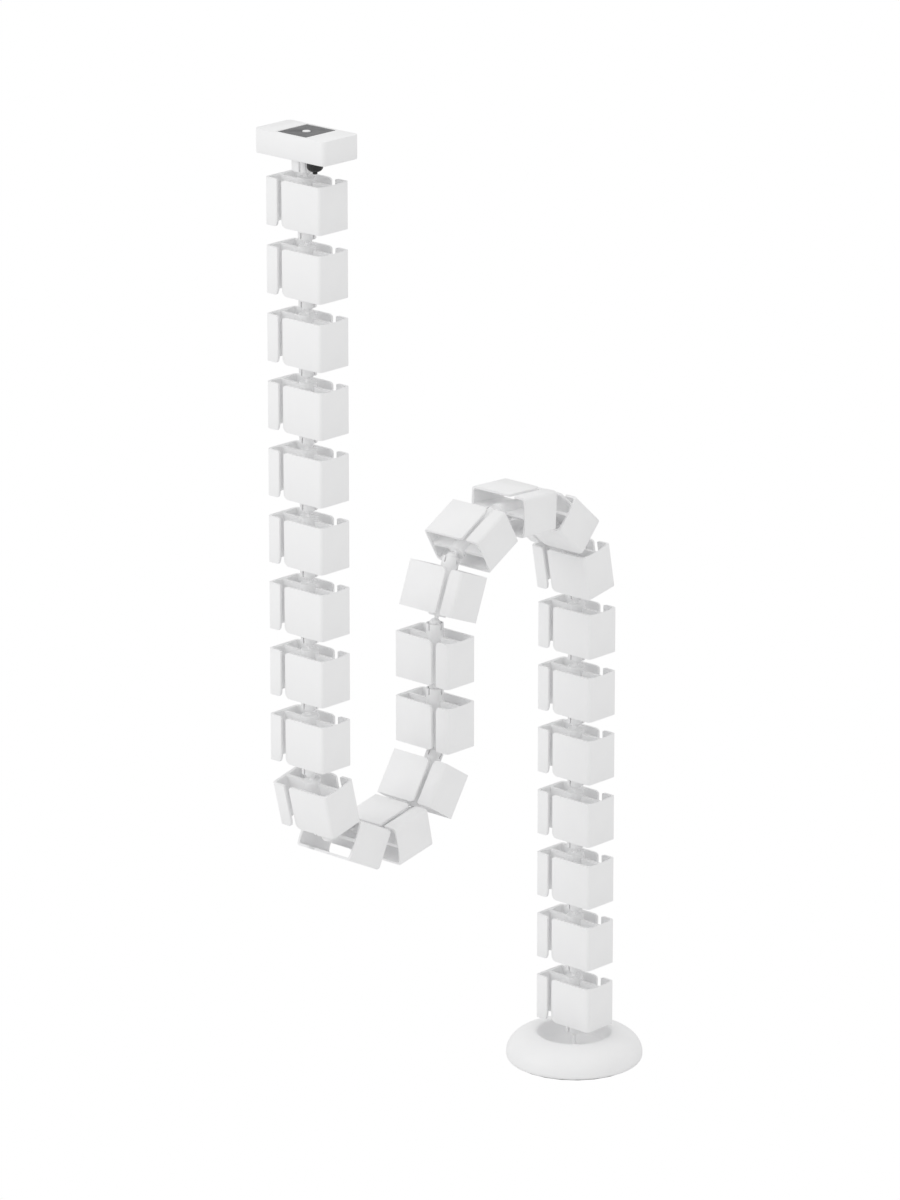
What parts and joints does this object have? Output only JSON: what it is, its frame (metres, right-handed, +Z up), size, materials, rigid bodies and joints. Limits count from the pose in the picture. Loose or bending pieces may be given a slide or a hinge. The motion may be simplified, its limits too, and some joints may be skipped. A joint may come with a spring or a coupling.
{
  "type": "cable spine",
  "caption": "Cable management spine: jointed chain of slotted box links on ball joints between an under-desk mount and a weighted round floor base.",
  "frame": {"origin": "centre of the top face of the mount, where it meets the desk's underside", "axes": "+Z up along the hanging chain, X along the links' wide side, +Y the way the chain's S folds"},
  "size_m": [0.1, 0.3431, 0.7424],
  "materials": {
    "white_plastic": "fine satin grain",
    "dark_steel": "dark zinc",
    "black_plastic": "satin",
    "grey_rubber": "matt"
  },
  "bodies": {
    "mount": {"mount_housing": "white_plastic", "mount_plate": "dark_steel"},
    "knob": {"mount_knob": "black_plastic"},
    "link_01": {"link_01": "white_plastic"},
    "link_02": {"link_02": "white_plastic"},
    "link_03": {"link_03": "white_plastic"},
    "link_04": {"link_04": "white_plastic"},
    "link_05": {"link_05": "white_plastic"},
    "link_06": {"link_06": "white_plastic"},
    "link_07": {"link_07": "white_plastic"},
    "link_08": {"link_08": "white_plastic"},
    "link_09": {"link_09": "white_plastic"},
    "link_10": {"link_10": "white_plastic"},
    "link_11": {"link_11": "white_plastic"},
    "link_12": {"link_12": "white_plastic"},
    "link_13": {"link_13": "white_plastic"},
    "link_14": {"link_14": "white_plastic"},
    "link_15": {"link_15": "white_plastic"},
    "link_16": {"link_16": "white_plastic"},
    "link_17": {"link_17": "white_plastic"},
    "link_18": {"link_18": "white_plastic"},
    "link_19": {"link_19": "white_plastic"},
    "link_20": {"link_20": "white_plastic"},
    "link_21": {"link_21": "white_plastic"},
    "link_22": {"link_22": "white_plastic"},
    "link_23": {"link_23": "white_plastic"},
    "link_24": {"link_24": "white_plastic"},
    "link_25": {"link_25": "white_plastic"},
    "link_26": {"link_26": "white_plastic"},
    "link_27": {"link_27": "white_plastic"},
    "base": {"base_cover": "white_plastic", "base_weight": "dark_steel", "base_pad": "grey_rubber", "base_screw": "dark_steel"}
  },
  "joints": [
    {"name": "knob_turn", "type": "hinge", "parent": "mount", "child": "knob", "pos_m": [0.015, -0.0075, -0.017], "axis": [0, 0, 1], "continuous": true},
    {"name": "sway_01", "type": "hinge", "parent": "mount", "child": "link_01", "pos_m": [0, 0, -0.02575], "axis": [0, 1, 0], "range_deg": [-16, 30]},
    {"name": "sway_02", "type": "hinge", "parent": "link_01", "child": "link_02", "pos_m": [0, 0, -0.07325], "axis": [0, -1, 0], "range_deg": [-30, 30]},
    {"name": "sway_03", "type": "hinge", "parent": "link_02", "child": "link_03", "pos_m": [0, 0, -0.12075], "axis": [0, 1, 0], "range_deg": [-30, 30]},
    {"name": "sway_04", "type": "hinge", "parent": "link_03", "child": "link_04", "pos_m": [0, 0, -0.16825], "axis": [0, -1, 0], "range_deg": [-30, 30]},
    {"name": "sway_05", "type": "hinge", "parent": "link_04", "child": "link_05", "pos_m": [0, 0, -0.21575], "axis": [0, 1, 0], "range_deg": [-30, 30]},
    {"name": "sway_06", "type": "hinge", "parent": "link_05", "child": "link_06", "pos_m": [0, 0, -0.26325], "axis": [0, -1, 0], "range_deg": [-30, 30]},
    {"name": "sway_07", "type": "hinge", "parent": "link_06", "child": "link_07", "pos_m": [0, 0, -0.31075], "axis": [0, 1, 0], "range_deg": [-30, 30]},
    {"name": "sway_08", "type": "hinge", "parent": "link_07", "child": "link_08", "pos_m": [0, 0, -0.35825], "axis": [0, -1, 0], "range_deg": [-30, 30]},
    {"name": "sway_09", "type": "hinge", "parent": "link_08", "child": "link_09", "pos_m": [0, 0, -0.40575], "axis": [0, 1, 0], "range_deg": [-30, 30]},
    {"name": "sway_10", "type": "hinge", "parent": "link_09", "child": "link_10", "pos_m": [0, 0, -0.45325], "axis": [0, -0.9925, -0.1219], "range_deg": [-24, 24]},
    {"name": "bend_11", "type": "hinge", "parent": "link_10", "child": "link_11", "pos_m": [0, 0.01149, -0.49934], "axis": [1, 0, 0], "range_deg": [-101, 1]},
    {"name": "bend_12", "type": "hinge", "parent": "link_11", "child": "link_12", "pos_m": [0, 0.05418, -0.52016], "axis": [1, 0, 0], "range_deg": [-89, 13]},
    {"name": "bend_13", "type": "hinge", "parent": "link_12", "child": "link_13", "pos_m": [0, 0.10065, -0.51029], "axis": [1, 0, 0], "range_deg": [-96.5, 5.5]},
    {"name": "bend_14", "type": "hinge", "parent": "link_13", "child": "link_14", "pos_m": [0, 0.12617, -0.47023], "axis": [1, 0, 0], "range_deg": [-83.5, 18.5]},
    {"name": "sway_15", "type": "hinge", "parent": "link_14", "child": "link_15", "pos_m": [0, 0.12617, -0.42273], "axis": [0, -1, 0], "range_deg": [-30, 30]},
    {"name": "sway_16", "type": "hinge", "parent": "link_15", "child": "link_16", "pos_m": [0, 0.12617, -0.37522], "axis": [0, 0.9833, -0.1822], "range_deg": [-20, 20]},
    {"name": "bend_17", "type": "hinge", "parent": "link_16", "child": "link_17", "pos_m": [0, 0.14319, -0.33088], "axis": [-1, 0, 0], "range_deg": [-90.5, 11.5]},
    {"name": "bend_18", "type": "hinge", "parent": "link_17", "child": "link_18", "pos_m": [0, 0.18453, -0.30749], "axis": [1, 0, 0], "range_deg": [-19, 83]},
    {"name": "bend_19", "type": "hinge", "parent": "link_18", "child": "link_19", "pos_m": [0, 0.23199, -0.30956], "axis": [1, 0, 0], "range_deg": [-11.5, 90.5]},
    {"name": "bend_20", "type": "hinge", "parent": "link_19", "child": "link_20", "pos_m": [0, 0.26729, -0.34135], "axis": [1, 0, 0], "range_deg": [-13.5, 88.5]},
    {"name": "sway_21", "type": "hinge", "parent": "link_20", "child": "link_21", "pos_m": [0, 0.27594, -0.38805], "axis": [0, 0.9958, 0.0915], "range_deg": [-26, 26]},
    {"name": "sway_22", "type": "hinge", "parent": "link_21", "child": "link_22", "pos_m": [0, 0.27594, -0.43555], "axis": [0, -1, 0], "range_deg": [-30, 30]},
    {"name": "sway_23", "type": "hinge", "parent": "link_22", "child": "link_23", "pos_m": [0, 0.27594, -0.48305], "axis": [0, 1, 0], "range_deg": [-30, 30]},
    {"name": "sway_24", "type": "hinge", "parent": "link_23", "child": "link_24", "pos_m": [0, 0.27594, -0.53055], "axis": [0, -1, 0], "range_deg": [-30, 30]},
    {"name": "sway_25", "type": "hinge", "parent": "link_24", "child": "link_25", "pos_m": [0, 0.27594, -0.57805], "axis": [0, 1, 0], "range_deg": [-30, 30]},
    {"name": "sway_26", "type": "hinge", "parent": "link_25", "child": "link_26", "pos_m": [0, 0.27594, -0.62555], "axis": [0, -1, 0], "range_deg": [-30, 30]},
    {"name": "sway_27", "type": "hinge", "parent": "link_26", "child": "link_27", "pos_m": [0, 0.27594, -0.67305], "axis": [0, 1, 0], "range_deg": [-30, 30]},
    {"name": "bend_base", "type": "hinge", "parent": "link_27", "child": "base", "pos_m": [0, 0.27594, -0.72055], "axis": [1, 0, 0], "range_deg": [-30, 30]}
  ]
}
